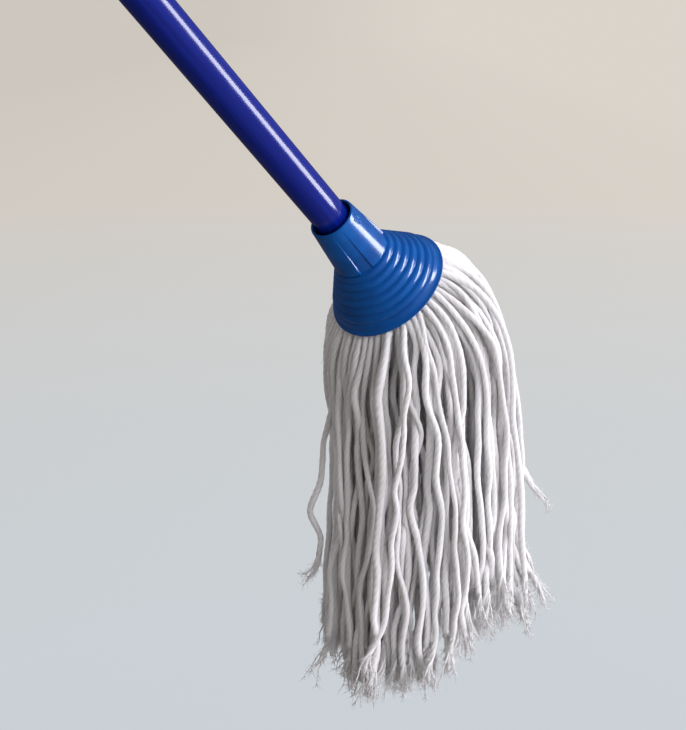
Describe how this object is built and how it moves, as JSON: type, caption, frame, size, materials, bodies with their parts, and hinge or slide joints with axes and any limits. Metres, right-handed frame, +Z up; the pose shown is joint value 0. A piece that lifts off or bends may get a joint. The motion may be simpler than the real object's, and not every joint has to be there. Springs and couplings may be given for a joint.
{
  "type": "string mop",
  "caption": "Round cotton string mop: slim coated handle with hanging eye, screwed into a ribbed conical plastic socket clamping a hanging skirt of twisted yarn.",
  "frame": {"origin": "on the handle's axis in the leading hand, 250 mm below the tube's top end", "axes": "+Z up against gravity; the handle leans 45 degrees in the XZ plane with its foot towards +X; the yarn hangs along -Z"},
  "size_m": [0.9359, 0.1382, 1.0999],
  "materials": {
    "handle_film": "gloss plastic film over steel tube",
    "handle_plastic": "satin moulded",
    "socket_plastic": "gloss moulded",
    "plug_plastic": "satin moulded",
    "ring_steel": "galvanised wire",
    "yarn": "plied undyed cotton yarn"
  },
  "bodies": {
    "handle": {"handle_tube": "handle_film", "end_cap": "handle_plastic", "screw_tip": "handle_plastic"},
    "clamp": {"clamp_plug": "plug_plastic", "yarn_ring": "ring_steel", "yarn_root_01": "yarn", "yarn_root_02": "yarn", "yarn_root_03": "yarn", "yarn_root_04": "yarn", "yarn_root_05": "yarn", "yarn_root_06": "yarn", "yarn_root_07": "yarn", "yarn_root_08": "yarn", "yarn_root_09": "yarn", "yarn_root_10": "yarn", "yarn_root_11": "yarn", "yarn_root_12": "yarn", "yarn_root_13": "yarn", "yarn_root_14": "yarn", "yarn_root_15": "yarn", "yarn_root_16": "yarn", "yarn_root_17": "yarn", "yarn_root_18": "yarn"},
    "socket": {"socket": "socket_plastic"},
    "yarn": {"yarn_lock_01": "yarn", "yarn_lock_02": "yarn", "yarn_lock_03": "yarn", "yarn_lock_04": "yarn", "yarn_lock_05": "yarn", "yarn_lock_06": "yarn", "yarn_lock_07": "yarn", "yarn_lock_08": "yarn", "yarn_lock_09": "yarn", "yarn_lock_10": "yarn", "yarn_lock_11": "yarn", "yarn_lock_12": "yarn", "yarn_lock_13": "yarn", "yarn_lock_14": "yarn", "yarn_lock_15": "yarn", "yarn_lock_16": "yarn", "yarn_lock_17": "yarn", "yarn_lock_18": "yarn"}
  },
  "joints": [
    {"name": "socket_travel", "type": "slide", "parent": "handle", "child": "clamp", "axis": [0.7071, 0, -0.7071], "range_m": [0, 0.02]},
    {"name": "socket_turn", "type": "hinge", "parent": "clamp", "child": "socket", "pos_m": [0.62933, 0, -0.62933], "axis": [0.7071, 0, -0.7071], "range_deg": [0, 1440]},
    {"name": "yarn_swing", "type": "hinge", "parent": "clamp", "child": "yarn", "pos_m": [0.65832, 0, -0.65832], "axis": [0, -1, 0], "range_deg": [-30, 45]}
  ],
  "couplings": [
    {"joint": "socket_travel", "follows": "socket_turn", "m_per_rad": 0.00079577}
  ]
}
